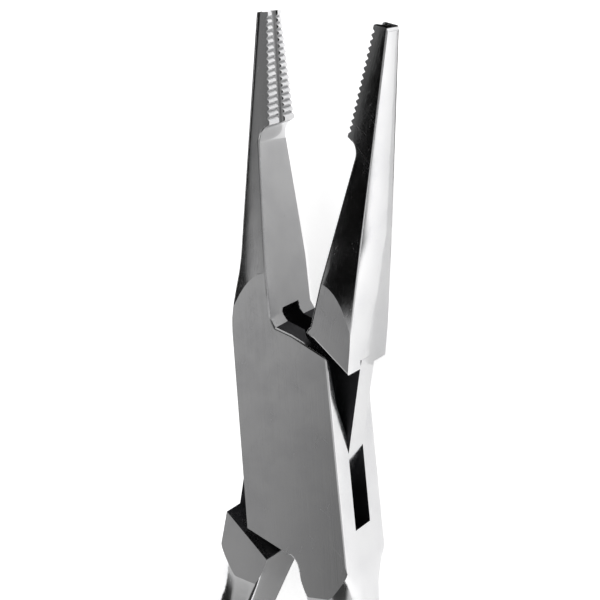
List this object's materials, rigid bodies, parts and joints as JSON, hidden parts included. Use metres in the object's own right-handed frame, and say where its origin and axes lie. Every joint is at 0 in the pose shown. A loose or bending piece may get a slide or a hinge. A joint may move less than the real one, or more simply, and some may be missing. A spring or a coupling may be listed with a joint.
{
  "type": "pin puller pliers",
  "caption": "Slender box joint pliers with serrated jaws, a pin groove along each gripping face, a flush rivet and long bowed handles.",
  "frame": {"origin": "on the pivot axis, at the back faces that the pliers lie on", "axes": "+Y along the middle line towards the tips, +Z along the pivot axis away from the back faces, +X to the right"},
  "size_m": [0.0874, 0.1749, 0.01],
  "materials": {
    "polished_steel": "satin"
  },
  "bodies": {
    "box_arm": {"box_arm": "polished_steel", "pivot_pin": "polished_steel"},
    "through_arm": {"through_arm": "polished_steel"}
  },
  "joints": [
    {"name": "jaw_pivot", "type": "hinge", "parent": "box_arm", "child": "through_arm", "pos_m": [0, 0, 0.005], "axis": [0, 0, -1], "range_deg": [-15.1, 16.8]}
  ]
}
